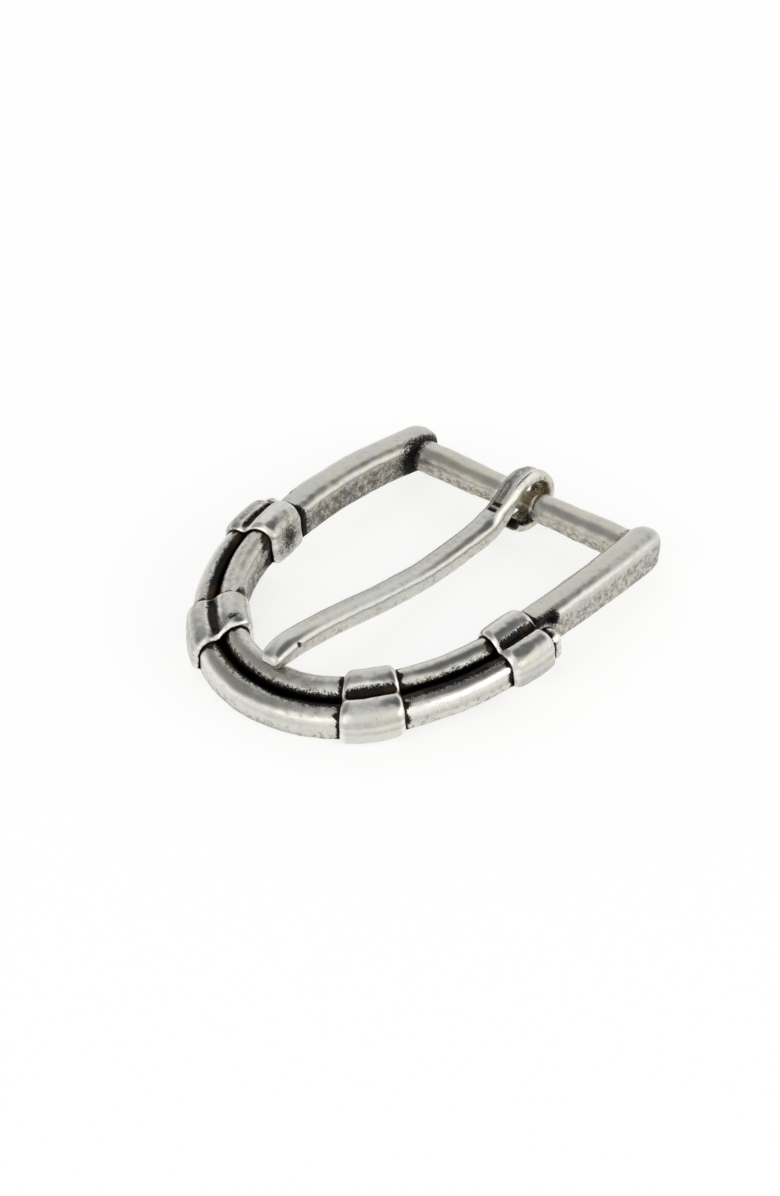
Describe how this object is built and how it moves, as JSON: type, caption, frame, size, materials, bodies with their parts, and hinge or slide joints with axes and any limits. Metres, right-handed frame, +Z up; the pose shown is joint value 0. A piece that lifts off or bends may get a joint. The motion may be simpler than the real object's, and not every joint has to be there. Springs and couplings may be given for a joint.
{
  "type": "belt buckle",
  "caption": "Western-style frame buckle: twin-rail horseshoe front bound by collars, side arms, and a crossbar carrying a swinging prong.",
  "frame": {"origin": "On the table under the middle of the buckle's box; the crossbar axis is 26.35 mm behind it and 3.65 mm up.", "axes": "+X from the crossbar to the nose of the horseshoe, +Y towards the right arm, parallel to the crossbar, +Z up out of the buckle's face"},
  "size_m": [0.0617, 0.0542, 0.0098],
  "materials": {
    "rail_silver": "antique silver plate with black patina in the groove, rubbed bright on top",
    "arm_silver": "antique silver plate, mottled grey-brown patina on the side faces",
    "collar_silver": "antique silver plate, rubbed bright with dark edges",
    "crossbar_silver": "antique silver plate, worn towards brass at the waist",
    "prong_silver": "smooth silver plate, lightly pitted"
  },
  "bodies": {
    "frame": {"inner_rail": "rail_silver", "outer_rail": "rail_silver", "right_arm": "arm_silver", "left_arm": "arm_silver", "right_rear_collar": "collar_silver", "left_rear_collar": "collar_silver", "right_front_collar": "collar_silver", "left_front_collar": "collar_silver", "crossbar": "crossbar_silver"},
    "prong": {"prong": "prong_silver"}
  },
  "joints": [
    {"name": "prong_hinge", "type": "hinge", "parent": "frame", "child": "prong", "pos_m": [-0.02635, 0, 0.00365], "axis": [0, -1, 0], "range_deg": [0, 170]}
  ]
}
